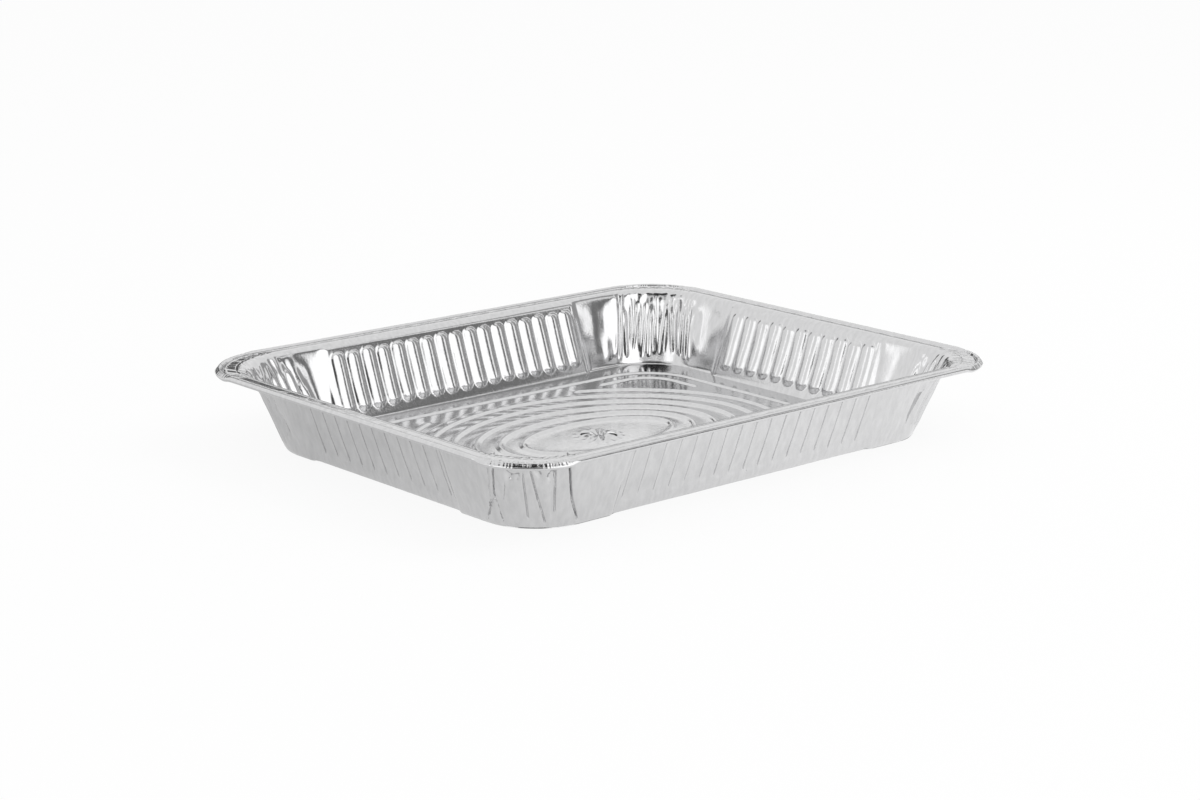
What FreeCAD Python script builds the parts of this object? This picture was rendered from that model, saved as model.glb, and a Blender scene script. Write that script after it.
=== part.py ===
import FreeCAD, Part
import math
import os

# overall size over the rolled rim
length = 324.0
width = 263.5
height = 40.0

# the foil is drawn thicker than the real 0.1 mm so that it keeps two clear faces
sheet = 0.3

# rim: rolled bead, flat flange and rounded shoulder, measured in from the outer edge
beadRadius = 1.9
beadStart = 45.0
beadEnd = 315.0
rimCorner = 34.0
flangeDrop = 0.6
flangeReach = 2.9
shoulderEnd = 9.4
shoulderCorner = 33.0
shoulderHighInset = 11.2
shoulderHighCorner = 32.7
shoulderHighDrop = 0.35
shoulderLowInset = 12.4
shoulderLowCorner = 32.4
shoulderLowDrop = 1.2

# walls: inset from the outer edge at the top and at the foot
wallTopInset = 13.4
wallTopDrop = 3.8
wallTopLevel = height - wallTopDrop
wallFootInset = 25.6
wallFootLevel = 2.6
wallTopCorner = 32.0
wallFootCorner = 29.0
floorInset = 28.3
floorCorner = 26.5
footFoldInset = 26.6
footFoldCorner = 27.6
footFoldRise = 0.6

# ribbed panel on each wall, set back a little from the corners
ribPitch = 9.72
longRibs = 17
shortRibs = 11
panelMargin = 2.4
panelSetback = 1.0
panelStep = 5.0

# one rib pad
padWidth = 8.2
padTopWidth = 6.6
padDepth = 1.1
padLow = 6.0
padTopDrop = 5.4
padHigh = height - padTopDrop
padEndSlope = 2.6
padCornerCut = 2.2

# pleated corners
pleats = 9
pleatDepth = 1.3
pleatDrop = 8.0
pleatLevel = height - pleatDrop

# beads pressed up out of the floor
beadHeight = 1.3
edgeBeadHeight = 1.0
edgeBeadWidth = 5.0
edgeBeadTop = 1.8
edgeBeadInset = 17.0
edgeBeadCorner = 30.0
cornerBeadGap = 11.0
cornerBeadLong = 70.0
cornerBeadShort = 42.0

# ovals on the floor
ovals = 6
ovalStep = 12.1
firstOvalLong = 45.5
firstOvalShort = 24.5
ovalWidth = 6.0
ovalTop = 2.0
openOvalHalf = 50.0

# rosette in the middle of the floor
rosetteRadius = 14.0
rosetteCore = 2.5
fluteCount = 16
fluteWidth = 3.9
fluteHeight = 1.0
fluteTopShare = 0.3
fluteWidestAt = 0.8
fluteCrestAt = 0.75

# short flats that turn the curves of the floor beads, the rim's corners and its curl
ovalFlats = 40
cornerFlats = 6
rimFlats = 9
curlFlats = 6

# small overlap that keeps two joined solids from only touching
bite = 0.6

# a facet that bends by less than this counts as flat
flatEnough = 0.00001

up = FreeCAD.Vector(0, 0, 1)


def vector(x, y, z):
    return FreeCAD.Vector(x, y, z)


def face(points):
    return Part.Face(Part.makePolygon(points + [points[0]]))


def facets(lower, upper):
    """Flat faces between two rings of equally many points, split in two where they are warped."""
    faces = []
    for here in range(len(lower)):
        beyond = (here + 1) % len(lower)
        a, b, c, d = lower[here], lower[beyond], upper[beyond], upper[here]
        warp = (b - a).cross(d - a).normalize().dot(c - a)
        if abs(warp) < flatEnough:
            faces.append(face([a, b, c, d]))
        else:
            faces.append(face([a, b, c]))
            faces.append(face([a, c, d]))
    return faces


def stack(rings):
    """A solid lofted through rings that lie one above another, closed at both ends."""
    faces = [face(rings[0]), face(rings[-1])]
    for lower, upper in zip(rings, rings[1:]):
        faces += facets(lower, upper)
    return Part.Solid(Part.Shell(faces))


def carriedRound(outlineAt, section):
    """A closed section of (growth, level) corners carried round an outline."""
    rings = [outlineAt(grow, level) for grow, level in section]
    faces = []
    for first, second in zip(rings, rings[1:] + rings[:1]):
        faces += facets(first, second)
    return Part.Solid(Part.Shell(faces))


def roundedRing(halfLong, halfShort, corner, flats, level):
    """A rectangle with corners turned by short flats."""
    points = []
    for turn in range(4):
        signX = 1 if turn in (0, 3) else -1
        signY = 1 if turn in (0, 1) else -1
        for step in range(flats + 1):
            angle = math.radians(90 * (turn + step / flats))
            x = signX * (halfLong - corner) + corner * math.cos(angle)
            y = signY * (halfShort - corner) + corner * math.sin(angle)
            points.append(vector(x, y, level))
    return points


def ovalRing(halfLong, halfShort, level):
    points = []
    for step in range(ovalFlats):
        angle = math.radians(360 * step / ovalFlats)
        points.append(vector(halfLong * math.cos(angle), halfShort * math.sin(angle), level))
    return points


def wallRing(inset, corner, level, fold, setback):
    """One level of the wall: straight panels, a step beside each, and pleated corners."""
    halfLong = length / 2 - inset
    halfShort = width / 2 - inset
    panelLong = longRibs * ribPitch / 2 + panelMargin
    panelShort = shortRibs * ribPitch / 2 + panelMargin
    quarter = [(halfLong - setback, panelShort)]
    quarter.append((halfLong, panelShort + panelStep))
    for step in range(2 * pleats + 1):
        angle = math.radians(90.0 * step / (2 * pleats))
        reach = corner - (fold if step % 2 else 0)
        x = halfLong - corner + reach * math.cos(angle)
        y = halfShort - corner + reach * math.sin(angle)
        quarter.append((x, y))
    quarter.append((panelLong + panelStep, halfShort))
    quarter.append((panelLong, halfShort - setback))
    ring = [(x, y) for x, y in quarter]
    ring += [(-x, y) for x, y in reversed(quarter)]
    ring += [(-x, -y) for x, y in quarter]
    ring += [(x, -y) for x, y in reversed(quarter)]
    return [vector(x, y, level) for x, y in ring]


def wallInsetAt(level):
    rise = (level - wallFootLevel) / (wallTopLevel - wallFootLevel)
    return wallFootInset + (wallTopInset - wallFootInset) * rise


def vesselBody(skin):
    """The space inside the foil, grown outwards and down by the skin."""
    pleatCorner = wallFootCorner + (wallTopCorner - wallFootCorner) * pleatLevel / height
    shoulderLevel = height - flangeDrop
    levels = [
        (floorInset, floorCorner, sheet, 0, 0),
        (footFoldInset, footFoldCorner, sheet + footFoldRise, 0, panelSetback / 2),
        (wallFootInset, wallFootCorner, wallFootLevel, 0, panelSetback),
        (wallInsetAt(pleatLevel), pleatCorner, pleatLevel, pleatDepth, panelSetback),
        (wallTopInset, wallTopCorner, wallTopLevel, 0, panelSetback),
        (shoulderLowInset, shoulderLowCorner, shoulderLevel - shoulderLowDrop, 0, panelSetback / 2),
        (shoulderHighInset, shoulderHighCorner, shoulderLevel - shoulderHighDrop, 0, 0),
        (shoulderEnd, shoulderCorner, shoulderLevel, 0, 0),
    ]
    rings = []
    for inset, corner, level, fold, setback in levels:
        rings.append(wallRing(inset - skin, corner + skin, level - skin, fold, setback))
    if skin == 0:
        rings.append(wallRing(shoulderEnd, shoulderCorner, shoulderLevel + bite, 0, 0))
    return stack(rings)


def padAt(place, longWall, side, skin):
    """One rib pad standing on a wall, as a frustum with cut corners."""
    half = (width if longWall else length) / 2
    lean = math.atan2(wallFootInset - wallTopInset, wallTopLevel - wallFootLevel)
    upWall = (math.sin(lean), math.cos(lean))
    inward = (-math.cos(lean), math.sin(lean))
    foot = half - wallInsetAt(0) - panelSetback + skin
    rings = []
    for depth in (-bite, padDepth):
        share = depth / padDepth
        halfWide = (padWidth + (padTopWidth - padWidth) * share - skin) / 2
        low = padLow + padEndSlope * share
        high = padHigh - padEndSlope * share
        cut = padCornerCut
        outline = [
            (-halfWide, low + cut), (-halfWide + cut, low), (halfWide - cut, low), (halfWide, low + cut),
            (halfWide, high - cut), (halfWide - cut, high), (-halfWide + cut, high), (-halfWide, high - cut),
        ]
        points = []
        for along, climb in outline:
            climb = climb / math.cos(lean)
            out = foot + upWall[0] * climb + inward[0] * depth
            level = upWall[1] * climb + inward[1] * depth - skin
            if longWall:
                points.append(vector(place + along, side * out, level))
            else:
                points.append(vector(side * out, place + along, level))
        rings.append(points)
    return stack(rings)


def ribPads(skin):
    pads = []
    for side in (-1, 1):
        for number in range(longRibs):
            pads.append(padAt((number - (longRibs - 1) / 2) * ribPitch, True, side, skin))
        for number in range(shortRibs):
            pads.append(padAt((number - (shortRibs - 1) / 2) * ribPitch, False, side, skin))
    return pads


def ridge(outlineAt, foot, crest, rise, base):
    """A raised bead round an outline, from under the floor up to its flat crest."""
    low = base - bite
    high = base + rise
    section = [(-foot / 2, low), (foot / 2, low), (foot / 2, base), (crest / 2, high), (-crest / 2, high),
               (-foot / 2, base)]
    return carriedRound(outlineAt, section)


def floorBeads(skin):
    """Every bead on one face of the floor; the open ends differ by the skin, so they keep a wall."""
    base = sheet - skin
    cornerLong = cornerBeadLong + skin
    cornerShort = cornerBeadShort + skin
    halfLong = length / 2 - wallFootInset - edgeBeadInset
    halfShort = width / 2 - wallFootInset - edgeBeadInset
    tall = beadHeight + 2 * bite
    beads = []

    def edgeOutline(grow, level):
        return roundedRing(halfLong + grow, halfShort + grow, edgeBeadCorner + grow, cornerFlats, level)
    beads.append(ridge(edgeOutline, edgeBeadWidth, edgeBeadTop, edgeBeadHeight, base))

    def cornerOutline(grow, level):
        inner = grow - cornerBeadGap
        return roundedRing(halfLong + inner, halfShort + inner, edgeBeadCorner + inner, cornerFlats, level)
    cornerRing = ridge(cornerOutline, edgeBeadWidth, edgeBeadTop, edgeBeadHeight, base)
    for signX in (-1, 1):
        for signY in (-1, 1):
            x = cornerLong if signX > 0 else -length
            y = cornerShort if signY > 0 else -width
            corner = Part.makeBox(length - cornerLong, width - cornerShort, tall)
            corner.translate(vector(x, y, base - bite))
            beads.append(cornerRing.common(corner))

    for number in range(ovals):
        ovalLong = firstOvalLong + number * ovalStep
        ovalShort = firstOvalShort + number * ovalStep

        def ovalOutline(grow, level):
            return ovalRing(ovalLong + grow, ovalShort + grow, level)
        oval = ridge(ovalOutline, ovalWidth, ovalTop, beadHeight, base)
        if number == ovals - 1:
            openHalf = openOvalHalf + skin
            gap = Part.makeBox(2 * openHalf, width, tall)
            gap.translate(vector(-openHalf, -width / 2, base - bite))
            oval = oval.cut(gap)
        beads.append(oval)
    return beads


def rosette(base):
    """Radial flutes round the middle of the floor, each rising towards its outer end."""
    flutes = []
    for number in range(fluteCount):
        widest = rosetteRadius * fluteWidestAt
        foot = [(rosetteCore, 0), (widest, -fluteWidth / 2), (rosetteRadius, 0), (widest, fluteWidth / 2)]
        middle = rosetteRadius * fluteCrestAt
        crest = [(middle + (x - middle) * fluteTopShare, y * fluteTopShare) for x, y in foot]
        under = [vector(x, y, base - bite) for x, y in foot]
        low = [vector(x, y, base) for x, y in foot]
        high = [vector(x, y, base + fluteHeight) for x, y in crest]
        flute = stack([under, low, high])
        flute.rotate(vector(0, 0, 0), up, 360.0 * number / fluteCount)
        flutes.append(flute)
    return flutes


def vessel(skin):
    pressings = ribPads(skin) + floorBeads(skin) + rosette(sheet - skin)
    return vesselBody(skin).cut(Part.makeCompound(pressings))


def rimRing(inset, level):
    return roundedRing(length / 2 - inset, width / 2 - inset, rimCorner - inset, rimFlats, level)


def flangePlate():
    low = height - flangeDrop - sheet
    return stack([rimRing(flangeReach, low), rimRing(flangeReach, low + sheet)])


def rolledBead():
    """The rim's curl: an open strip section carried round the outer edge."""
    def curl(radius, first, last):
        corners = []
        for step in range(curlFlats + 1):
            turn = math.radians(first + (last - first) * step / curlFlats)
            inset = beadRadius + radius * math.cos(turn)
            corners.append((inset, height - beadRadius + radius * math.sin(turn)))
        return corners

    section = curl(beadRadius, beadStart, beadEnd) + curl(beadRadius - sheet, beadEnd, beadStart)
    return carriedRound(rimRing, section)


def foilTray():
    cup = vessel(sheet).fuse(flangePlate())
    cup = cup.cut(vessel(0))
    tray = cup.fuse(rolledBead())
    return tray


tray = foilTray()
os.makedirs("parts", exist_ok=True)
tray.Solids[0].exportStep("parts/foil_tray.step")
print("foil tray:", len(tray.Solids), "solid of", len(tray.Faces), "faces, valid", tray.isValid())
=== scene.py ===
import bpy
import numpy as np
from mathutils import Matrix, Vector


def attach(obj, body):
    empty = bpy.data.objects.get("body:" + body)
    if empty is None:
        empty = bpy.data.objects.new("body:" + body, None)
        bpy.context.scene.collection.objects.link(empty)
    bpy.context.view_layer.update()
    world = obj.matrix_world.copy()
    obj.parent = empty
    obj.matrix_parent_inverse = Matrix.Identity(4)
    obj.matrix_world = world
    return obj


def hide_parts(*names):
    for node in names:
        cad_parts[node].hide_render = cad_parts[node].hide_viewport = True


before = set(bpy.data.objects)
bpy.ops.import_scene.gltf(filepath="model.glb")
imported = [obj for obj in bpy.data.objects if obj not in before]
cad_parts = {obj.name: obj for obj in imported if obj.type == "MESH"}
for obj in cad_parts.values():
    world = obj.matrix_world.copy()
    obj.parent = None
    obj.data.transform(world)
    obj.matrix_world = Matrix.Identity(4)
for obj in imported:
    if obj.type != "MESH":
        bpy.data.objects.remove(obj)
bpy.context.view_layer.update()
mm = 0.001

# the tray's sizes in mm; its sheet is thinner than the construction's
tray = {
    "length": 324.0,
    "width": 263.5,
    "height": 40.0,
    "foil": 0.12,               # thickness of the sheet
    "wallTop": (13.4, 36.2),    # inset from the rim's edge, and level
    "wallFoot": (25.6, 2.6),
    "ribPitch": 9.72,
    "longRibs": 17,
    "shortRibs": 11,
    "panelMargin": 2.4,         # smooth panel beyond its outermost pads
    "pressedCorner": 8.0,       # added to the radii of the one corner that is pressed in
}
halfLong = tray["length"] / 2
halfShort = tray["width"] / 2
panelLong = tray["longRibs"] * tray["ribPitch"] / 2 + tray["panelMargin"]
panelShort = tray["shortRibs"] * tray["ribPitch"] / 2 + tray["panelMargin"]


def smooth(low, high, value):
    # rises from 0 to 1 between two values, level at both ends
    t = np.clip((value - low) / (high - low), 0, 1)
    return t * t * (3 - 2 * t)


def wander(values, seed, waves):
    # a smooth random line: the mean of sine waves of given lengths, with seeded phases and heights
    random = np.random.default_rng(seed)
    total = np.zeros_like(values, dtype=float)
    for wave in waves:
        phase = random.uniform(0, 2 * np.pi)
        total += np.sin(values * 2 * np.pi / wave + phase) * random.uniform(0.6, 1.0)
    return total / len(waves)


def addPiece(name, points, pole=None):
    # A closed band from a grid of rows by columns by xyz in mm: each face joins two neighbours of one
    # row to those of the next, and the last column joins the first.
    rows, columns = points.shape[:2]
    column = np.arange(columns)
    here = np.arange(rows - 1)[:, None] * columns + column
    beyond = np.arange(rows - 1)[:, None] * columns + (column + 1) % columns
    quads = np.stack([here, beyond, beyond + columns, here + columns], axis=-1).reshape(-1, 4)
    spots, corners, totals = points.reshape(-1, 3), quads.ravel(), np.full(len(quads), 4)
    if pole is not None:
        # a fan closes the first row on one middle point
        fan = np.stack([(column + 1) % columns, np.full(columns, len(spots)), column], axis=-1)
        spots = np.vstack([spots, pole])
        corners = np.concatenate([corners, fan.ravel()])
        totals = np.concatenate([totals, np.full(columns, 3)])
    starts = np.cumsum(totals) - totals
    mesh = bpy.data.meshes.new(name)
    mesh.vertices.add(len(spots))
    mesh.vertices.foreach_set("co", (spots * mm).astype(np.float32).ravel())
    mesh.loops.add(len(corners))
    mesh.loops.foreach_set("vertex_index", corners.astype(np.int32))
    mesh.polygons.add(len(totals))
    mesh.polygons.foreach_set("loop_start", starts.astype(np.int32))
    mesh.polygons.foreach_set("loop_total", totals.astype(np.int32))
    mesh.polygons.foreach_set("use_smooth", np.ones(len(totals), dtype=bool))
    mesh.update(calc_edges=True)
    mesh.validate()
    piece = bpy.data.objects.new(name, mesh)
    bpy.context.scene.collection.objects.link(piece)
    skin = piece.modifiers.new("foil", "SOLIDIFY")
    skin.thickness = tray["foil"] * mm
    skin.offset = -1
    skin.use_even_offset = False
    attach(piece, "root")
    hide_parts("foil_tray")
    print(name, "has", len(totals), "faces")
    return piece


# Columns round the tray are rows of a table, called a ring: the signs of the quarter; then, for X
# and for Y, how far the column follows its corner's centre and its fixed place where it doesn't;
# then the cosine and sine of its turn round the corner.
def sideColumns(ribSteps, sideCount):
    # shares of the way from a panel to its corner, close together beside the panel
    toCorner = np.concatenate([[0.02, 0.05], np.linspace(0.12, 1, sideCount + 1)[:-1]])

    def halfSide(ribCount, panelEnd):
        # follow and place from beside the wall's middle outwards, closer together at the grooves
        grooves = (np.arange(-1, ribCount // 2 + 1) + 0.5) * tray["ribPitch"]
        places = (grooves[:, None] + np.array(ribSteps) * tray["ribPitch"]).ravel()
        lastGroove = ribCount * tray["ribPitch"] / 2
        places = places[(places > 1e-6) & (places < lastGroove - 0.01)]
        margin = lastGroove + tray["panelMargin"] + np.array([-1.2, -0.6, 0.0])
        places = np.concatenate([places, [lastGroove], margin])
        return [(0, place) for place in places] + [(share, panelEnd) for share in toCorner]

    strips = []
    for sign in (1, -1):
        half = halfSide(tray["longRibs"], panelLong)
        left = [(-1, sign, follow, place, 1, 0, 0, 1) for follow, place in half[::-1]]
        right = [(1, sign, follow, place, 1, 0, 0, 1) for follow, place in half]
        along = np.array(left + [(1, sign, 0, 0, 1, 0, 0, 1)] + right, dtype=float)
        half = halfSide(tray["shortRibs"], panelShort)
        near = [(sign, -1, 1, 0, follow, place, 1, 0) for follow, place in half[::-1]]
        far = [(sign, 1, 1, 0, follow, place, 1, 0) for follow, place in half]
        up = np.array(near + [(sign, 1, 1, 0, 0, 0, 1, 0)] + far, dtype=float)
        strips += [along[::-sign], up[::sign]]
    alongFar, upRight, alongNear, upLeft = strips
    return [alongFar, upLeft, alongNear, upRight]


def cornerColumns(counts):
    # a quarter turn at each corner, counter-clockwise round the tray
    strips = []
    for (signX, signY), count in zip(((1, 1), (-1, 1), (-1, -1), (1, -1)), counts):
        turn = np.linspace(0, np.pi / 2, count)
        one, none = np.ones(count), np.zeros(count)
        strip = np.stack([signX * one, signY * one, one, none, one, none, np.cos(turn), np.sin(turn)], 1)
        strips.append(strip[::signX * signY])
    return strips


def cornerSlack(ring):
    # what the one corner that has been pressed in by handling adds to its radii
    return tray["pressedCorner"] * (ring[:, 0] < 0) * (ring[:, 1] > 0)


def ringPoints(ring, inset, corner):
    # Points of a rounded rectangle: the corner's centre plus the radius times the turn's cosine
    # and sine. Inset and corner radius are given for each row, or for each point.
    signX, signY, followX, placeX, followY, placeY, cosTurn, sinTurn = ring.T
    corner = corner + cornerSlack(ring)
    x = signX * (followX * (halfLong - inset - corner) + (1 - followX) * placeX + corner * cosTurn)
    y = signY * (followY * (halfShort - inset - corner) + (1 - followY) * placeY + corner * sinTurn)
    return x, y


# the wall from its folded foot up over the shoulder
wall = {
    "foot": [(30.2, 0.15), (28.6, 0.15), (27.5, 0.24), (26.9, 0.45), (26.5, 0.8)],  # inset and level
    # rows of the leaning wall, close together at the pads' ends
    "levels": [1.5, 2.6, 3.6, 4.2, 4.8, 5.5, 6.4, 7.6, 9.6, 11.8, 14.0, 16.2, 18.4, 20.6, 22.6, 24.4,
               26.0, 27.4, 28.8, 30.2, 31.6, 32.8, 33.7, 34.4, 35.0, 35.6, 36.2],
    # corner radius at a few insets
    "cornerAt": [(3.6, 30.4), (9.0, 32.8), (13.4, 32.0), (25.6, 29.0), (26.5, 28.6), (30.2, 24.9)],
    "ribSteps": [0, 0.06, 0.12, 0.2, 0.35, 0.5, 0.65, 0.8, 0.88, 0.94],     # columns over one pitch
    "sideColumns": 9,
    "cornerColumns": (90, 84, 130, 84),
    "shoulderTurn": 8,          # rows of the shoulder
}

# the level rim outside the shoulder
flange = {
    # inset and level, out to the rolled bead
    "profile": [(8.2, 39.42), (8.0, 39.42), (7.7, 39.41), (7.1, 39.355), (6.5, 39.3), (5.9, 39.245),
                (5.4, 39.2), (5.1, 39.2), (4.8, 39.25), (4.5, 39.27), (4.3, 39.18), (4.1, 38.95),
                (3.9, 38.5), (3.6, 38.1)],
    "uneven": 0.11,             # how much the sides rise and fall
    "unevenStart": (4.0, 4.6),  # insets over which that begins and ends
    "unevenEnd": (6.0, 8.0),
    "wrinkle": 0.34,            # how much the corners rise and fall
    "sink": 0.2,                # how much lower they lie
    "wrinkleStart": (3.2, 5.0),
}


def wallProfile():
    # foot, straight leaning wall, an arc over the shoulder that runs on from it, then the flange
    topInset, topLevel = tray["wallTop"]
    footInset, footLevel = tray["wallFoot"]
    lean = np.arctan2(footInset - topInset, topLevel - footLevel)
    rim = np.array(flange["profile"])
    rimLevel = rim[0, 1]
    levels = np.array(wall["levels"])
    share = (levels - footLevel) / (topLevel - footLevel)
    straight = np.stack([footInset + (topInset - footInset) * share, levels], 1)
    meet = topInset - (rimLevel - topLevel) * np.tan(lean)
    reach = np.hypot(topInset - meet, rimLevel - topLevel)
    radius = reach / np.tan((np.pi / 2 - lean) / 2)
    angle = lean + (np.pi / 2 - lean) * np.linspace(0, 1, wall["shoulderTurn"] + 1)[1:]
    shoulderInset = meet - reach + radius * np.cos(angle)
    shoulderLevel = rimLevel - radius * (1 - np.sin(angle))
    shoulder = np.stack([shoulderInset, shoulderLevel], 1)
    return np.vstack([wall["foot"], straight, shoulder, rim[1:]])


def wallStrip(ring, shape, rows):
    # The profile swept round the given columns. The shape says how far each point is pushed in
    # along the profile's normal, lifted, and shifted in on the level.
    profile = wallProfile()
    inset, level = profile[:, :1], profile[:, 1:]
    at = np.array(wall["cornerAt"])
    x, y = ringPoints(ring, inset, np.interp(inset, at[:, 0], at[:, 1]))
    slope = np.gradient(profile, axis=0)
    slope = slope / np.hypot(slope[:, :1], slope[:, 1:])
    normalIn, normalUp = slope[:, 1:], -slope[:, :1]
    push, lift, shift = shape(ring, x, y, inset, level)
    x = x - ring[:, 0] * ring[:, 6] * (normalIn * push + shift)
    y = y - ring[:, 1] * ring[:, 7] * (normalIn * push + shift)
    return np.stack([x, y, level + normalUp * push + lift], axis=-1)[rows]


# raised pads, side by side in a panel that is pressed in a little; pairs are for lower and upper end
ribs = {
    "halfWidth": 4.6,
    "span": (3.9, 35.0),        # levels at which a pad ends
    "spanUneven": 0.35,
    "middle": 20.0,
    "endWidth": (0.28, 0.5),    # share of its width that a pad keeps at its ends
    "taper": (4.2, 3.2),        # over what height it narrows
    "fall": (2.8, 1.7),         # over what height it sinks
    "depth": 1.25,
    "power": 2.5,               # how flat its middle is
    "uneven": 0.12,
    "setback": 0.4,             # how far the panel is pushed in
    "step": 1.0,                # over what length
    "ramp": 1.6,                # how much further in the panel lies than the corners
    "rampLength": 2.2,
    "rampFade": (3, 20, 0.65),  # share of it that is lost between two levels
    "shoulder": (36.6, 38.6),   # levels between which everything fades out
    # the smooth wall beside a panel bellies outwards: shares of its length, and of the belly
    "belly": 1.0,
    "bellyShape": [(0, 0), (0.1, 0.28), (0.35, 0.95), (0.5, 1), (0.75, 0.35), (1, 0)],
    "bellyRise": (2.6, 16),     # levels over which the belly swells and then fades
    "bellyFade": (28, 38.6),
    "sway": 0.10,               # how much that wall wanders
    "swayRise": (4, 12),        # levels over which this begins
}


def belowShoulder(level):
    return 1 - smooth(*ribs["shoulder"], level)


def rampShare(level):
    # how much of the panel's ramp is left, less and less up the wall
    low, high, fade = ribs["rampFade"]
    return (1 - fade * smooth(low, high, level)) * belowShoulder(level)


def ribShape(ring, x, y, inset, level):
    # A pad's height is one minus a power of the distance from its middle line over its half width,
    # which narrows at both ends, where the pad also sinks away.
    isLong = ring[:, 7] > 0.5
    signed = np.where(isLong, x, y)
    past = np.abs(signed) - np.where(isLong, panelLong, panelShort)
    inPanel = past < 0.01 - tray["panelMargin"]
    number = np.round(signed / tray["ribPitch"])
    seed = number + 40 * isLong + 80 * (ring[:, 0] > 0) * ~isLong + 160 * (ring[:, 1] > 0) * isLong
    across = np.abs(signed / tray["ribPitch"] - number) * tray["ribPitch"]
    low = ribs["span"][0] + ribs["spanUneven"] * np.sin(seed * 5.3)
    high = ribs["span"][1] + ribs["spanUneven"] * np.sin(seed * 3.7)
    upperHalf = level > ribs["middle"]
    endWidth = np.where(upperHalf, ribs["endWidth"][1], ribs["endWidth"][0])
    taper = np.where(upperHalf, ribs["taper"][1], ribs["taper"][0])
    toEnd = np.minimum(level - low, high - level)
    wide = ribs["halfWidth"] * (endWidth + (1 - endWidth) * smooth(0, taper, toEnd))
    dome = 1 - np.clip(across / wide, 0, 1) ** ribs["power"]
    sunk = smooth(low, low + ribs["fall"][0], level) * (1 - smooth(high - ribs["fall"][1], high, level))
    varied = 1 + ribs["uneven"] * (np.sin(seed * 12.9) + 0.6 * np.sin(level * 0.23 + seed * 4.1))
    pad = ribs["depth"] * dome * sunk * inPanel * varied
    # the panel lies in, from just above the foot to the shoulder
    onPanel = 1 - smooth(-ribs["step"], 0, past)
    onWall = smooth(0.1, 1.2, level) * (inset < 27.6)
    push = (pad + ribs["setback"] * onPanel * onWall) * belowShoulder(level)
    # beside it the corner's folds run out, and the sheet sways gently and bellies outwards
    sway = ribs["sway"] * wander(signed + 0.7 * level, 5, [47.0, 29.0])
    sway = sway * smooth(*ribs["swayRise"], level) * belowShoulder(level)
    push = push + (foldPush(ring, x, y, inset, level) + sway) * ~inPanel
    belly = np.interp(np.where(isLong, ring[:, 2], ring[:, 4]), *np.array(ribs["bellyShape"]).T)
    belly = ribs["belly"] * belly * (past >= 0)
    belly = belly * smooth(*ribs["bellyRise"], level) * (1 - smooth(*ribs["bellyFade"], level))
    onRamp = 1 - smooth(0, ribs["rampLength"], past)
    shift = ribs["ramp"] * (onRamp - 0.5) * rampShare(level) - belly
    onFlange = smooth(38.8, 39.2, level) * smooth(*flange["unevenStart"], inset)
    onFlange = onFlange * (1 - smooth(*flange["unevenEnd"], inset))
    lift = flange["uneven"] * wander(signed + 3.1 * inset, 21, [5.3, 8.7, 13.1]) * onFlange
    return push, lift, shift


# folds of the drawn corners
pleats = {
    # how many, by the corner's signs; the corner without folds has the creases
    "folds": {(-1, -1): 0, (1, -1): 16, (-1, 1): 14, (1, 1): 19},
    "spread": (54, 1.15),       # reach of the folds either side of 45 degrees, and how they thin out
    "chevron": 0.3,
    "spill": 18.0,              # how far the folds run past the corner's own quarter turn, in degrees
    "radius": 30.0,             # of the corner, where the folds' turn counts on along the wall
    "degree": 0.55,             # length of wall for each degree of that
    "tall": 60,                 # degrees of turn that are as long as the wall is high
    "foot": (1.5, 4.5),         # levels over which all of them begin and end
    "shoulder": (36.9, 38.9),
    # creases of the corner towards the camera: turn and height at both ends, half width, depth
    "creases": [
        (15.0, 1.05, 12.5, 0.41, 1.5, 3.4), (12.5, 0.41, 2.5, 0.0, 1.3, 2.8),
        (12.5, 0.41, 20.0, 0.02, 1.2, 2.2), (9.0, 1.0, 6.5, 0.1, 1.3, 1.2),
        (79.0, 1.05, 82.0, 0.39, 1.5, 3.4), (82.0, 0.39, 88.0, 0.02, 1.4, 3.0),
        (47.0, 0.82, 52.0, 0.39, 1.2, 1.9), (52.0, 0.39, 57.5, 0.03, 1.2, 1.7),
        (40.0, 0.8, 43.0, 0.1, 1.3, 1.5), (67.5, 0.95, 66.0, 0.2, 1.3, 1.5),
        (23.8, 0.6, 21.0, 0.35, 1.2, 1.3), (25.5, 0.80, 29.0, 0.74, 4.5, 1.3),
        (29.0, 0.74, 35.5, 0.74, 4.5, 1.4), (35.5, 0.74, 41.0, 0.86, 3.0, 0.9),
        (49.0, 0.88, 54.0, 0.78, 3.6, 1.9), (62.0, 0.74, 68.0, 0.86, 3.4, 1.8),
        (63.0, 0.66, 67.5, 0.78, 1.4, 1.4),
    ],
    "creaseUneven": 0.25,
}


def cornerTurn(ring, x, y, inset):
    # degrees round the corner, counted on along the straight wall beside it
    turn = np.degrees(np.arctan2(ring[:, 7], ring[:, 6])) + 0 * x
    besideLong = (ring[:, 7] > 0.999) & (ring[:, 2] < 0.999)
    besideShort = (ring[:, 6] > 0.999) & (ring[:, 4] < 0.999)
    centre = inset + pleats["radius"] + cornerSlack(ring)
    past = (halfLong - centre - np.abs(x)) * besideLong - (halfShort - centre - np.abs(y)) * besideShort
    return turn + past / pleats["degree"]


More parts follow.
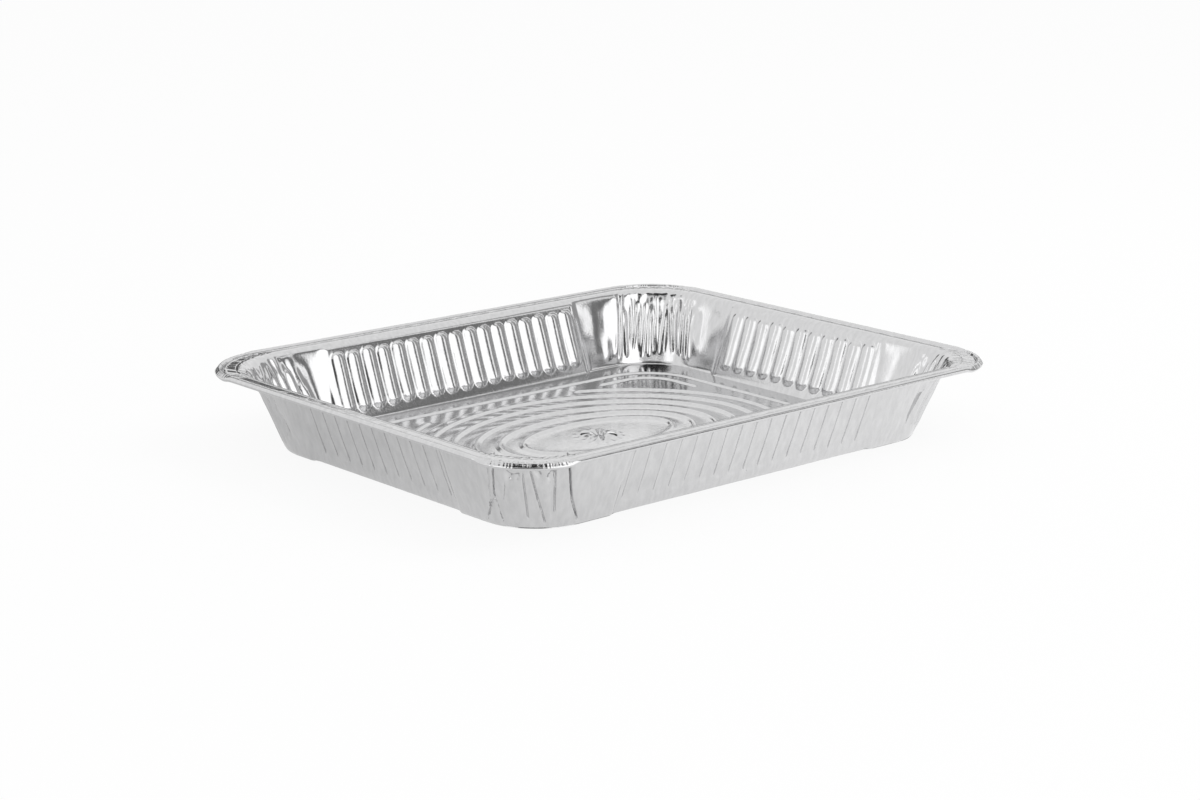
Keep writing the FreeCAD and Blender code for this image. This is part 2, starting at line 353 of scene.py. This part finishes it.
def spindles(turn, height, count, random):
    # Each fold is a spindle: a rounded ridge, widest at mid height and pointed at its ends, where
    # the highest of the folds counts.
    push = np.zeros(turn.shape)
    reach, thinning = pleats["spread"]
    for fold in range(count):
        across = 2 * (fold + 0.5 + random.uniform(-0.3, 0.3)) / count - 1
        centre = 45 + reach * np.sign(across) * np.abs(across) ** thinning
        drift = random.uniform(-7, 7)
        low, high = random.uniform(0.0, 0.2), random.uniform(0.75, 1.1)
        wide = random.uniform(1.4, 3.0) + 2.2 * np.abs(across)
        lean = random.uniform(0.25, 0.75)
        depth = random.uniform(0.24, 0.38) * wide
        share = np.clip((height - low) / (high - low), 0, 1)
        swell = (4 * share * (1 - share)) ** 0.4
        offset = (turn - centre - drift * (height - 0.5)) / (wide * (0.35 + 0.65 * swell))
        ridge = np.where(offset < 0, 1 + offset / (2 * lean), 1 - offset / (2 * (1 - lean)))
        push = np.maximum(push, depth * swell * smooth(-0.1, 1, ridge) * (0.7 + 0.3 * np.clip(ridge, 0, 1)))
    return push


def chevrons(turn, height, seed):
    # two slanting rows of pointed ridges that cross under the shoulder
    push = np.zeros(turn.shape)
    strength = pleats["chevron"] * smooth(0.5, 0.8, height) * (1 - smooth(0.98, 1.1, height))
    for slant, draw in ((26, 1), (-22, 2)):
        phase = (turn + slant * height + 4 * wander(turn, seed + draw, [23.0, 37.0])) / 10.0
        push = push + strength * (1 - np.abs(2 * (phase - np.floor(phase)) - 1))
    return push


def creaseDents(turn, height):
    # a crease's depth falls evenly with the distance from its line, to nothing at its half width
    push = np.zeros(turn.shape)
    for fromTurn, fromHeight, toTurn, toHeight, wide, depth in pleats["creases"]:
        runTurn, runHeight = toTurn - fromTurn, (toHeight - fromHeight) * pleats["tall"]
        offTurn, offHeight = turn - fromTurn, (height - fromHeight) * pleats["tall"]
        share = (offTurn * runTurn + offHeight * runHeight) / (runTurn ** 2 + runHeight ** 2)
        share = np.clip(share, 0, 1)
        away = np.hypot(offTurn - share * runTurn, offHeight - share * runHeight)
        push = push + depth * np.clip(1 - away / wide, 0, 1)
    return push + pleats["creaseUneven"] * wander(turn + 6 * height, 77, [9.0, 14.0, 23.0])


def foldPush(ring, x, y, inset, level):
    # the folds or creases of each corner, faded out past its ends, at the foot and at the shoulder
    topLevel, footLevel = tray["wallTop"][1], tray["wallFoot"][1]
    height = (level - footLevel) / (topLevel - footLevel) + 0 * x
    turn = cornerTurn(ring, x, y, inset)
    total = np.zeros(x.shape)
    for number, ((signX, signY), count) in enumerate(pleats["folds"].items()):
        if count:
            push = spindles(turn, height, count, np.random.default_rng(300 + number))
            push = push + chevrons(turn, height, 10 * number)
        else:
            push = creaseDents(turn, height)
        total += push * (ring[:, 0] == signX) * (ring[:, 1] == signY)
    spill = pleats["spill"]
    ends = smooth(-spill, -spill * 0.3, turn) * smooth(-spill, -spill * 0.3, 90 - turn)
    return total * ends * (1 - smooth(*pleats["shoulder"], level)) * smooth(*pleats["foot"], level)


def pleatShape(ring, x, y, inset, level):
    # the corner's folds, and wrinkles that run on over the flange
    turn = np.degrees(np.arctan2(ring[:, 7], ring[:, 6]))
    ends = smooth(0, 7, turn) * smooth(0, 7, 90 - turn)
    onFlange = smooth(38.4, 39.3, level) * smooth(*flange["wrinkleStart"], inset)
    corner = int(ring[0, 0] > 0) + 2 * int(ring[0, 1] > 0)
    fan = wander(turn + 1.6 * inset, 80 + corner, [3.1, 5.3, 8.9])
    lift = onFlange * ends * (flange["wrinkle"] * fan - flange["sink"])
    return foldPush(ring, x, y, inset, level), lift, -0.5 * ribs["ramp"] * rampShare(level)


def makeWalls():
    # Closed bands of the four corners with the four sides between them. The wall and its flange
    # part on the level sheet beside the shoulder.
    part = len(wall["foot"]) + len(wall["levels"]) + wall["shoulderTurn"]
    bands = {"ribbedWalls": slice(0, part + 1), "rimFlange": slice(part, None)}
    corners = cornerColumns(wall["cornerColumns"])
    sides = sideColumns(wall["ribSteps"], wall["sideColumns"])
    pieces = []
    for name, rows in bands.items():
        blocks = []
        for corner, side in zip(corners, sides):
            blocks += [wallStrip(corner, pleatShape, rows), wallStrip(side, ribShape, rows)]
        pieces.append(addPiece(name, np.concatenate(blocks, axis=1)[::-1]))
    return pieces


# the rolled bead round the rim, crimped at the corners
bead = {
    "radius": (1.84, 1.3),      # across and up: the curl is pressed a little flat
    "cornerRise": 0.5,          # added to the upward one at the corners
    "inset": 1.9,               # of the curl's middle
    "top": 39.96,
    "turn": (330.0, -28.0),     # of the curl from end to end, in degrees
    "corner": 34.0,             # corner radius of the rim's edge
    "uneven": 0.03,             # share of the radius, along the sides
    "chamfer": 40.0,            # how far the hem's outer face looks up at the corners
    "chamferReach": 0.6,        # its distance from the curl's middle, as a share of the radius
    "crimps": 27,               # per corner
    "crimpDepth": 0.17,         # share of the radius
    "rows": 22,
    "ribSteps": [0, 0.35, 0.7],
    "sideColumns": 16,
    "cornerColumns": (200, 200, 200, 200),
}


def crimpedShare(turn, angle, ends, number):
    # How far out the corner's points lie, as a share of the curl's radius: up to a flat face, square
    # to its slant, less the pointed teeth of the crimps on its upper half.
    facing = np.cos(angle - np.pi + np.radians(bead["chamfer"]))
    cut = np.where(facing > 0.2, bead["chamferReach"] / np.maximum(facing, 0.2), 2)
    phase = turn / 90 * bead["crimps"] + 1.3 * wander(turn, 7 + number, [17.0, 31.0])
    teeth = 1 - np.abs(2 * (phase - np.floor(phase)) - 1)
    strength = 0.55 + 0.45 * wander(turn, 90 + number, [7.0, 13.0, 23.0])
    upper = smooth(-0.6, 0.3, np.sin(angle))
    return 1 + (np.minimum(cut, 1) - 1) * ends - bead["crimpDepth"] * teeth * strength * ends * upper


def makeBead():
    # A curl carried round the rim: an ellipse whose points move in towards its middle by a share.
    angle = np.radians(np.linspace(*bead["turn"], bead["rows"]))[:, None]
    corners = cornerColumns(bead["cornerColumns"])
    sides = sideColumns(bead["ribSteps"], bead["sideColumns"])
    wide, tall = bead["radius"]
    blocks = []
    for number, ring in enumerate([block for pair in zip(corners, sides) for block in pair]):
        if number % 2:
            ends = 0
            place = ring[:, 3] + ring[:, 5]
            share = 1 + bead["uneven"] * wander(place, 60 + number, [11.0, 19.0, 37.0])
        else:
            turn = np.degrees(np.arctan2(ring[:, 7], ring[:, 6]))
            ends = smooth(0, 12, turn) * smooth(0, 12, 90 - turn)
            share = crimpedShare(turn, angle, ends, number)
        up = tall + bead["cornerRise"] * ends
        inset = bead["inset"] + np.cos(angle) * wide * share
        level = bead["top"] - up + np.sin(angle) * up * share
        x, y = ringPoints(ring, inset, bead["corner"] - inset)
        blocks.append(np.stack([x, y, level], axis=-1))
    return addPiece("rolledBead", np.concatenate(blocks, axis=1))


# the floor, with its raised beads; insets count from the rim's edge
floor = {
    "level": 0.62,
    "edgeInset": 42.6,              # of the bead along the edge
    "edgeCorner": 30.0,
    "edgeBead": (1.9, 0.9),         # half width and height
    "cornerGap": 11.0,              # from that bead in to the short one at each corner
    "cornerStart": (70.0, 42.0),    # where the short beads end, along X and Y
    "ovals": 6,
    "firstOval": (45.5, 24.5),      # half axes
    "ovalStep": 12.1,
    "ovalBead": (2.3, 1.15),
    "openHalf": 50.0,               # half the gap of the outermost oval along the long sides
    "valley": 0.15,                 # how far the sheet swells halfway up to the ovals
    "rosette": 13.0,
    "flutes": 12,
    "fluteHeight": 1.7,
    "sway": 0.035,
    "rimInset": 26.8,               # of the floor's outline, under the wall's foot
    "rimCorner": 28.4,
    "rimDip": 0.45,                 # how far the edge dips through the wall's fold
    "columns": 640,
    "splitLong": 100.0,             # half axis of the ellipse on which the two floor pieces meet
    "circles": 15,                  # rows over the rosette, 1 mm apart
    "ovalRows": 76,
    "edgeRows": 74,
}
edgeHalf = (halfLong - floor["edgeInset"], halfShort - floor["edgeInset"])
rimHalf = (halfLong - floor["rimInset"], halfShort - floor["rimInset"])


def arch(distance, half, height):
    # a rounded ridge: full height on its line and nothing beyond its half width
    t = np.clip(1 - (distance / half) ** 2, 0, 1)
    return height * t ** 1.25


def roundedDistance(x, y, halfX, halfY, corner):
    # Signed distance from a rounded rectangle, negative inside: how far a point lies beyond the
    # corner's centre, less the corner's radius.
    beyondX = np.abs(x) - halfX + corner
    beyondY = np.abs(y) - halfY + corner
    outside = np.hypot(np.maximum(beyondX, 0), np.maximum(beyondY, 0))
    return outside + np.minimum(np.maximum(beyondX, beyondY), 0) - corner


def ovalDistance(x, y, long, short):
    # distance from an ellipse, from its level function over the function's slope
    reach = np.sqrt((x / long) ** 2 + (y / short) ** 2) + 1e-9
    slope = np.sqrt((x / long ** 2) ** 2 + (y / short ** 2) ** 2) / reach + 1e-9
    return (reach - 1) / slope


def ellipseReach(bearing, long, short):
    # length of a ray from the middle to an ellipse
    return 1 / np.sqrt((np.cos(bearing) / long) ** 2 + (np.sin(bearing) / short) ** 2)


def outlineInward(x, y):
    # how far the walls' foot lies in beside the panels, and out at the corners
    nearLong = np.abs(y) / rimHalf[1] > np.abs(x) / rimHalf[0]
    past = np.where(nearLong, np.abs(x) - panelLong, np.abs(y) - panelShort)
    ramp = ribs["ramp"] * (0.5 - smooth(0, ribs["rampLength"], past))
    return ramp + ribs["setback"] * (1 - smooth(-ribs["step"], 0, past))


def outlineReach(bearing, inward):
    # Length of a ray from the middle to the floor's outline, moved in by the given amount: to its
    # straight side or, at a corner, to where it leaves the corner's circle.
    corner = floor["rimCorner"] + tray["pressedCorner"] * (np.cos(bearing) < 0) * (np.sin(bearing) > 0)
    halfX, halfY = rimHalf[0] - inward, rimHalf[1] - inward
    cosine = np.abs(np.cos(bearing)) + 1e-12
    sine = np.abs(np.sin(bearing)) + 1e-12
    straight = np.minimum(halfX / cosine, halfY / sine)
    centreX, centreY = halfX - corner, halfY - corner
    across = centreX * sine - centreY * cosine
    arc = centreX * cosine + centreY * sine + np.sqrt(np.maximum(corner ** 2 - across ** 2, 0))
    inCorner = (straight * cosine > centreX) & (straight * sine > centreY)
    return np.where(inCorner, arc, straight)


def floorLevel(x, y):
    # The floor's level plus an arch over the distance from the line of each bead.
    z = np.full(x.shape, floor["level"])
    half, height = floor["edgeBead"]
    gap, corner = floor["cornerGap"], floor["edgeCorner"]
    z += arch(roundedDistance(x, y, *edgeHalf, corner), half, height)
    inner = roundedDistance(x, y, edgeHalf[0] - gap, edgeHalf[1] - gap, corner - gap)
    startX, startY = floor["cornerStart"]
    ends = smooth(startX - 1, startX + 2, np.abs(x)) * smooth(startY - 1, startY + 2, np.abs(y))
    z += ends * arch(inner, half, height)
    half, height = floor["ovalBead"]
    for number in range(floor["ovals"]):
        long, short = np.array(floor["firstOval"]) + number * floor["ovalStep"]
        away = ovalDistance(x, y, long, short)
        swell = floor["valley"] * (1 + np.cos(np.pi * np.clip(away / floor["ovalStep"] * 2, -1, 1)))
        ridge = np.maximum(arch(away, half, height), swell)
        if number == floor["ovals"] - 1:
            ridge = ridge * smooth(floor["openHalf"] - 2, floor["openHalf"] + 2, np.abs(x))
        z = np.maximum(z, floor["level"] + ridge)
    # the rosette's flutes are a squared sine of the turn, fading at the middle and at its edge
    reach = np.hypot(x, y)
    fan = np.sin(np.arctan2(y, x) * floor["flutes"] / 2) ** 2
    fade = smooth(0.6, 5.5, reach) * (1 - smooth(floor["rosette"] - 4.5, floor["rosette"], reach))
    z += floor["fluteHeight"] * fan * fade
    # the sheet is never quite flat
    sway = wander(x + 0.4 * y, 3, [61.0, 37.0, 23.0]) + wander(y - 0.3 * x, 4, [53.0, 31.0, 19.0])
    z += floor["sway"] * sway
    # its edge dips through the wall's fold
    corner = floor["rimCorner"] + tray["pressedCorner"] * (x < 0) * (y > 0)
    inward = outlineInward(x, y)
    edge = roundedDistance(x, y, rimHalf[0] - inward, rimHalf[1] - inward, corner)
    return z - floor["rimDip"] * smooth(-0.9, 0.1, edge)


def floorColumns():
    # bearings whose rays are evenly spread along the floor's outline
    fine = np.linspace(0, 2 * np.pi, 20001)
    reach = outlineReach(fine, 0)
    path = np.stack([reach * np.cos(fine), reach * np.sin(fine)], 1)
    length = np.concatenate([[0], np.cumsum(np.hypot(*np.diff(path, axis=0).T))])
    return np.interp(np.arange(floor["columns"]) / floor["columns"] * length[-1], length, fine)


def floorPoints(bearing, reach):
    # the floor's surface over each point's bearing and its reach from the middle
    x, y = reach * np.cos(bearing), reach * np.sin(bearing)
    return np.stack([x, y, floorLevel(x, y)], axis=-1)


def makeFloor():
    # rows of the middle piece: circles over the rosette, then ellipses that open out to the split,
    # with every second column
    bearing = floorColumns()[::2]
    split, last = floor["splitLong"], floor["circles"]
    gap = floor["firstOval"][0] - floor["firstOval"][1]
    first = floor["firstOval"][0] - floor["ovalBead"][0] - 1.0
    opening = np.linspace(last, first, 5)[1:-1]
    longs = np.concatenate([opening, np.linspace(first, split, floor["ovalRows"])])[:, None]
    shorts = np.interp(longs, [last, first, split], [last, first - gap, split - gap])
    circles = np.arange(1.0, last + 1)[:, None] + 0 * bearing
    reach = np.vstack([circles, ellipseReach(bearing, longs, shorts)])
    middle = addPiece("floorMiddle", floorPoints(bearing, reach), pole=(0, 0, floor["level"]))
    # rows of the edge piece: from the split out to the floor's outline
    bearing = floorColumns()
    inner, outer = ellipseReach(bearing, split, split - gap), outlineReach(bearing, 0)
    inward = outlineInward(outer * np.cos(bearing), outer * np.sin(bearing))
    share = np.linspace(0, 1, floor["edgeRows"])[:, None]
    reach = inner + (outlineReach(bearing, inward) - inner) * share
    return [middle, addPiece("floorEdge", floorPoints(bearing, reach))]


# bright rolled foil; the streaks run up the walls and the grain along the tray
foilLook = {
    "dark": (0.61, 0.61, 0.615, 1),
    "light": (0.68, 0.68, 0.685, 1),
    "streaks": {"scale": 420.0, "detail": 3.0, "stretch": (1.0, 1.0, 0.06)},
    "streakSpan": (0.3, 0.7),
    "mottle": {"scale": 900.0, "detail": 3.0, "stretch": (1.0, 1.0, 1.0)},
    "grain": {"scale": 2600.0, "detail": 2.0, "stretch": (0.03, 1.0, 1.0)},
    "roughness": (0.05, 0.13),
    "bump": (0.12, 0.0002),         # strength, and distance in metres
}


def makeFoil():
    material = bpy.data.materials.new("brightFoil")
    material.use_nodes = True
    nodes, links = material.node_tree.nodes, material.node_tree.links
    shader = nodes["Principled BSDF"]
    shader.inputs["Metallic"].default_value = 1.0
    place = nodes.new("ShaderNodeTexCoord")

    def noise(spec):
        stretch = nodes.new("ShaderNodeMapping")
        stretch.inputs["Scale"].default_value = spec["stretch"]
        links.new(place.outputs["Object"], stretch.inputs["Vector"])
        texture = nodes.new("ShaderNodeTexNoise")
        texture.inputs["Scale"].default_value = spec["scale"]
        texture.inputs["Detail"].default_value = spec["detail"]
        links.new(stretch.outputs["Vector"], texture.inputs["Vector"])
        return texture.outputs["Fac"]

    mottle, grain, streaks = [noise(foilLook[name]) for name in ("mottle", "grain", "streaks")]
    spread = nodes.new("ShaderNodeMapRange")
    spread.inputs["To Min"].default_value, spread.inputs["To Max"].default_value = foilLook["roughness"]
    links.new(mottle, spread.inputs["Value"])
    links.new(spread.outputs["Result"], shader.inputs["Roughness"])
    tones = nodes.new("ShaderNodeMapRange")
    tones.inputs["From Min"].default_value, tones.inputs["From Max"].default_value = foilLook["streakSpan"]
    links.new(streaks, tones.inputs["Value"])
    tone = nodes.new("ShaderNodeMix")
    tone.data_type = "RGBA"
    tone.inputs["A"].default_value = foilLook["dark"]
    tone.inputs["B"].default_value = foilLook["light"]
    links.new(tones.outputs["Result"], tone.inputs["Factor"])
    links.new(tone.outputs["Result"], shader.inputs["Base Color"])
    relief = nodes.new("ShaderNodeMath")
    relief.operation = "ADD"
    links.new(mottle, relief.inputs[0])
    links.new(grain, relief.inputs[1])
    bump = nodes.new("ShaderNodeBump")
    bump.inputs["Strength"].default_value, bump.inputs["Distance"].default_value = foilLook["bump"]
    links.new(relief.outputs["Value"], bump.inputs["Height"])
    links.new(bump.outputs["Normal"], shader.inputs["Normal"])
    return material


# the studio: a white ground, two soft lamps, and cards that the bright metal mirrors
studio = {
    "ground": 6.0,                  # side in metres
    "groundColor": (0.86, 0.86, 0.86, 1),
    "groundGlow": {"Is Camera Ray": 0.9, "Is Glossy Ray": 0.85},    # how far it glows to each
    "groundShadeInMetal": (0.72, 1.10),    # painted light and shade: that glow in the metal, darker on the picture's left, where the tray's shadow falls, and brighter on the right
    "groundShadeSpan": (-0.13, 0.11),    # where those two lie, in metres
    "groundShadeToward": (0.7, -0.7, 0),     # from left to right
    "lamps": {
        "key": {"place": (1.0, -0.9, 1.3), "size": 1.0, "power": 9.0},
        "fill": {"place": (-1.2, -1.0, 1.4), "size": 1.4, "power": 5.0},
    },
    "world": 0.85,
    "cardReach": 2.4,
    "cardColumns": 24,
    # bearing from and to in degrees, height above the horizon from and to, brightness
    "cards": [
        (-104, -58, -2, 60, 1.6),
        (-163, -111, -5, 36, 0.1),
        (-186, -164, -2, 42, 1.5),
        (-221, -213, -2, 28, 1.5),
        (-54, -43, -2, 66, 0.22),
        (-42, -34, -2, 20, 1.4),
        (-32, -4, -2, 50, 0.42),
        (-202, -96, 58, 80, 0.04),
        (-165, -110, 46, 57, 0.3),
        (60, 90, -2, 24, 0.15),
        (12, 59, -1, 9.5, 0.16),
    ],
}


def makeCard(name, card):
    # a piece of an upright ring round the tray, by bearing and height
    bearingFrom, bearingTo, heightFrom, heightTo, brightness = card
    reach, columns = studio["cardReach"], studio["cardColumns"]
    bearing = np.radians(np.linspace(bearingFrom, bearingTo, columns + 1))
    level = np.maximum(np.tan(np.radians([heightFrom, heightTo])) * reach, 0.002)
    x, y, z = np.broadcast_arrays(reach * np.cos(bearing), reach * np.sin(bearing), level[:, None])
    points = np.stack([x, y, z], axis=-1).reshape(-1, 3)
    faces = [(i, i + 1, i + columns + 2, i + columns + 1) for i in range(columns)]
    mesh = bpy.data.meshes.new(name)
    mesh.from_pydata(points.tolist(), [], faces)
    holder = bpy.data.objects.new(name, mesh)
    bpy.context.scene.collection.objects.link(holder)
    # it shows in the metal only
    holder.visible_camera = holder.visible_diffuse = holder.visible_shadow = False
    holder.visible_transmission = holder.visible_volume_scatter = False
    glow = bpy.data.materials.new(name)
    glow.use_nodes = True
    nodes, links = glow.node_tree.nodes, glow.node_tree.links
    nodes.remove(nodes["Principled BSDF"])
    light = nodes.new("ShaderNodeEmission")
    light.inputs["Strength"].default_value = brightness
    links.new(light.outputs["Emission"], nodes["Material Output"].inputs["Surface"])
    mesh.materials.append(glow)


def makePaper():
    # white paper that the camera and the metal see glowing
    paper = bpy.data.materials.new("whitePaper")
    paper.use_nodes = True
    nodes, links = paper.node_tree.nodes, paper.node_tree.links
    shader = nodes["Principled BSDF"]
    shader.inputs["Base Color"].default_value = studio["groundColor"]
    shader.inputs["Roughness"].default_value = 1.0
    shader.inputs["Specular IOR Level"].default_value = 0.0
    # painted light and shade: the metal sees it brighter on the right, where the key light falls, than on
    # the left, where the tray's shadow lies
    place = nodes.new("ShaderNodeTexCoord")
    toward = nodes.new("ShaderNodeVectorMath")
    toward.operation = "DOT_PRODUCT"
    toward.inputs[1].default_value = studio["groundShadeToward"]
    links.new(place.outputs["Object"], toward.inputs[0])
    # painted shade: this sets the ground's glow in the metal, lower on the left than on the right
    sides = nodes.new("ShaderNodeMapRange")
    sides.inputs["From Min"].default_value, sides.inputs["From Max"].default_value = studio["groundShadeSpan"]
    sides.inputs["To Min"].default_value, sides.inputs["To Max"].default_value = studio["groundShadeInMetal"]
    links.new(toward.outputs["Value"], sides.inputs["Value"])
    path = nodes.new("ShaderNodeLightPath")
    strength = nodes.new("ShaderNodeMix")
    strength.data_type = "FLOAT"
    strength.inputs["A"].default_value = 1.0
    links.new(path.outputs["Is Glossy Ray"], strength.inputs["Factor"])
    links.new(sides.outputs["Result"], strength.inputs["B"])
    glow = nodes.new("ShaderNodeEmission")
    links.new(strength.outputs["Result"], glow.inputs["Strength"])
    both = nodes.new("ShaderNodeMath")
    both.operation = "MAXIMUM"
    for number, (ray, share) in enumerate(studio["groundGlow"].items()):
        seen = nodes.new("ShaderNodeMath")
        seen.operation = "MULTIPLY"
        seen.inputs[1].default_value = share
        links.new(path.outputs[ray], seen.inputs[0])
        links.new(seen.outputs["Value"], both.inputs[number])
    mix = nodes.new("ShaderNodeMixShader")
    links.new(both.outputs["Value"], mix.inputs["Fac"])
    links.new(shader.outputs["BSDF"], mix.inputs[1])
    links.new(glow.outputs["Emission"], mix.inputs[2])
    links.new(mix.outputs["Shader"], nodes["Material Output"].inputs["Surface"])
    return paper


def makeGround():
    half = studio["ground"] / 2
    corners = [(-half, -half, 0), (half, -half, 0), (half, half, 0), (-half, half, 0)]
    mesh = bpy.data.meshes.new("ground")
    mesh.from_pydata(corners, [], [(0, 1, 2, 3)])
    mesh.materials.append(makePaper())
    ground = bpy.data.objects.new("ground", mesh)
    bpy.context.scene.collection.objects.link(ground)


def makeLamps():
    for name, spec in studio["lamps"].items():
        lamp = bpy.data.lights.new(name, "AREA")
        lamp.shape = "SQUARE"
        lamp.size = spec["size"]
        lamp.energy = spec["power"]
        holder = bpy.data.objects.new(name, lamp)
        holder.location = spec["place"]
        holder.rotation_euler = (-Vector(spec["place"])).to_track_quat("-Z", "Y").to_euler()
        holder.visible_glossy = False
        bpy.context.scene.collection.objects.link(holder)


def makeWorld():
    # soft light on matt surfaces, and plain white to the camera and in the metal
    world = bpy.data.worlds.new("studio")
    bpy.context.scene.world = world
    world.use_nodes = True
    nodes, links = world.node_tree.nodes, world.node_tree.links
    soft = nodes["Background"]
    soft.inputs["Color"].default_value = (1, 1, 1, 1)
    soft.inputs["Strength"].default_value = studio["world"]
    white = nodes.new("ShaderNodeBackground")
    white.inputs["Color"].default_value = (1, 1, 1, 1)
    path = nodes.new("ShaderNodeLightPath")
    shown = path.outputs["Is Camera Ray"]
    for ray in ("Is Glossy Ray", "Is Transmission Ray"):
        either = nodes.new("ShaderNodeMath")
        either.operation = "MAXIMUM"
        links.new(shown, either.inputs[0])
        links.new(path.outputs[ray], either.inputs[1])
        shown = either.outputs["Value"]
    mix = nodes.new("ShaderNodeMixShader")
    links.new(shown, mix.inputs["Fac"])
    links.new(soft.outputs["Background"], mix.inputs[1])
    links.new(white.outputs["Background"], mix.inputs[2])
    links.new(mix.outputs["Shader"], nodes["World Output"].inputs["Surface"])


# the photograph's viewpoint
view = {
    "turn": 41.8,           # degrees round from the tray's short axis
    "lookDown": 14.36,
    "roll": 0.31,
    "distance": 1290.5,
    "shift": (0.35, -0.62),
    "focal": 2557.0,        # in pixels
    "pictureWidth": 1200,
    "sensor": 36.0,
}


def makeCamera():
    turn, down, roll = np.radians([view["turn"], view["lookDown"], view["roll"]])
    ahead = Vector((np.sin(turn) * np.cos(down), np.cos(turn) * np.cos(down), -np.sin(down)))
    right = Vector((np.cos(turn), -np.sin(turn), 0))
    up = right.cross(ahead)
    right, up = right * np.cos(roll) + up * np.sin(roll), up * np.cos(roll) - right * np.sin(roll)
    middle = Vector((0, 0, tray["height"] / 2))
    place = middle - ahead * view["distance"] + right * view["shift"][0] + up * view["shift"][1]
    data = bpy.data.cameras.new("camera")
    data.sensor_width = view["sensor"]
    data.lens = view["focal"] * view["sensor"] / view["pictureWidth"]
    data.clip_start = 0.01
    camera = bpy.data.objects.new("camera", data)
    camera.matrix_world = Matrix((
        (right.x, up.x, -ahead.x, place.x * mm),
        (right.y, up.y, -ahead.y, place.y * mm),
        (right.z, up.z, -ahead.z, place.z * mm),
        (0, 0, 0, 1),
    ))
    bpy.context.scene.collection.objects.link(camera)
    bpy.context.scene.camera = camera


makeCamera()
print("camera placed")
makeGround()
makeLamps()
for number, card in enumerate(studio["cards"]):
    makeCard("card%d" % number, card)
makeWorld()
print("studio lit")
pieces = makeWalls() + [makeBead()] + makeFloor()
print("foil formed")
foilMaterial = makeFoil()
for piece in pieces:
    piece.data.materials.append(foilMaterial)
print("foil finished")

bpy.context.scene.view_settings.view_transform = "Standard"
